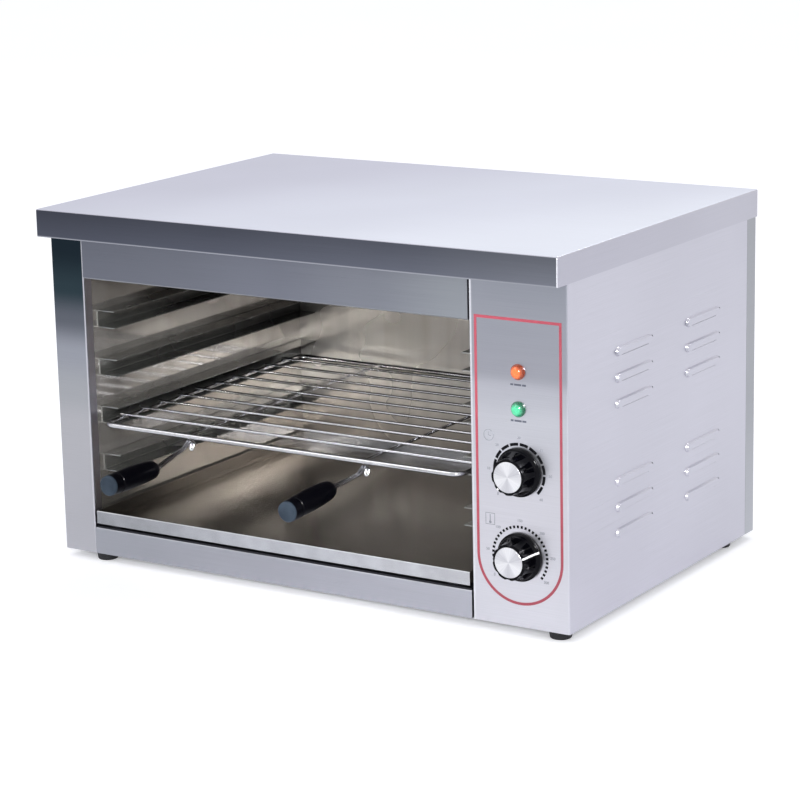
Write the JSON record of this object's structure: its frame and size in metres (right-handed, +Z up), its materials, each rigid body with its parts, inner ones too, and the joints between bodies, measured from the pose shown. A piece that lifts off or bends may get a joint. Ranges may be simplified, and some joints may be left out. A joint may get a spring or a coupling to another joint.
{
  "type": "electric cheese melter",
  "caption": "Countertop electric cheese melter with an open front, a wire rack on channel runners with two black handles, a crumb tray and a control panel.",
  "frame": {"origin": "centre of the lid's plan, on the plane that the four feet stand on", "axes": "+X to the right seen from the front, +Y to the back, +Z up"},
  "size_m": [0.581, 0.5193, 0.355],
  "materials": {
    "lid_steel": "fine level brushing",
    "shell_steel": "fine level brushing",
    "zinc_sheet": "dull zinc coating",
    "cavity_steel": "bright rolled sheet",
    "chrome_wire": "polished",
    "black_moulding": "moulded, half gloss",
    "cap_metal": "spun",
    "steel_small": "plain",
    "control_case": "moulded",
    "amber_plastic": "clear tinted",
    "green_plastic": "clear tinted",
    "white_moulding": "moulded",
    "red_print": "printed line",
    "element_sheath": "dark heat tint",
    "ceramic_white": "fired, unglazed",
    "fibre_slab": "pressed mineral fibre",
    "copper_tube": "bright copper",
    "brass_small": "plain",
    "lead_sleeve": "braided sleeve",
    "black_plastic": "moulded",
    "foot_rubber": "moulded"
  },
  "bodies": {
    "housing": {"lid": "lid_steel", "left_side_panel": "shell_steel", "control_side_panel": "shell_steel", "back_panel": "zinc_sheet", "base_pan": "zinc_sheet", "front_fascia": "shell_steel", "bottom_rail": "shell_steel", "rear_corner_angles": "zinc_sheet", "cavity_left_wall": "cavity_steel", "cavity_right_wall": "cavity_steel", "cavity_back_wall": "cavity_steel", "cavity_ceiling": "cavity_steel", "cavity_floor": "cavity_steel", "left_runners": "cavity_steel", "right_runners": "cavity_steel", "tray_runners": "cavity_steel", "timer_body": "control_case", "thermostat_body": "control_case", "control_nuts": "steel_small", "amber_lens": "amber_plastic", "green_lens": "green_plastic", "lamp_bodies": "white_moulding", "lamp_nuts": "white_moulding", "panel_outline": "red_print", "heating_element_front": "element_sheath", "heating_element_rear": "element_sheath", "element_insulators": "ceramic_white", "element_pins": "steel_small", "element_hangers": "cavity_steel", "top_insulation": "fibre_slab", "sensing_bulb": "copper_tube", "bulb_clips": "steel_small", "terminal_block": "white_moulding", "terminal_screws": "brass_small", "earth_stud": "brass_small", "lead_block_to_timer": "lead_sleeve", "lead_timer_to_thermostat": "lead_sleeve", "lead_thermostat_to_elements": "lead_sleeve", "lead_elements_to_block": "lead_sleeve", "lead_element_link": "lead_sleeve", "cable_gland": "black_plastic", "gland_lock_nut": "black_plastic", "foot_front_left": "foot_rubber", "foot_front_right": "foot_rubber", "foot_rear_left": "foot_rubber", "foot_rear_right": "foot_rubber", "foot_screws": "steel_small", "panel_screws": "steel_small"},
    "rack": {"wire_rack": "chrome_wire", "handle_wire_left": "chrome_wire", "handle_wire_right": "chrome_wire", "handle_grip_left": "black_moulding", "handle_grip_right": "black_moulding"},
    "tray": {"crumb_tray": "cavity_steel"},
    "timer_dial": {"timer_knob": "black_moulding", "timer_knob_cap": "cap_metal", "timer_shaft": "steel_small"},
    "thermostat_dial": {"thermostat_knob": "black_moulding", "thermostat_knob_cap": "cap_metal", "thermostat_shaft": "steel_small"}
  },
  "joints": [
    {"name": "rack_slide", "type": "slide", "parent": "housing", "child": "rack", "axis": [0, -1, 0], "range_m": [0, 0.27]},
    {"name": "tray_slide", "type": "slide", "parent": "housing", "child": "tray", "axis": [0, -1, 0], "range_m": [0, 0.33]},
    {"name": "timer_turn", "type": "hinge", "parent": "housing", "child": "timer_dial", "pos_m": [0.2384, -0.183, 0.1528], "axis": [0, 1, 0], "range_deg": [0, 280]},
    {"name": "thermostat_turn", "type": "hinge", "parent": "housing", "child": "thermostat_dial", "pos_m": [0.2384, -0.183, 0.074], "axis": [0, 1, 0], "range_deg": [-205, 65]}
  ]
}
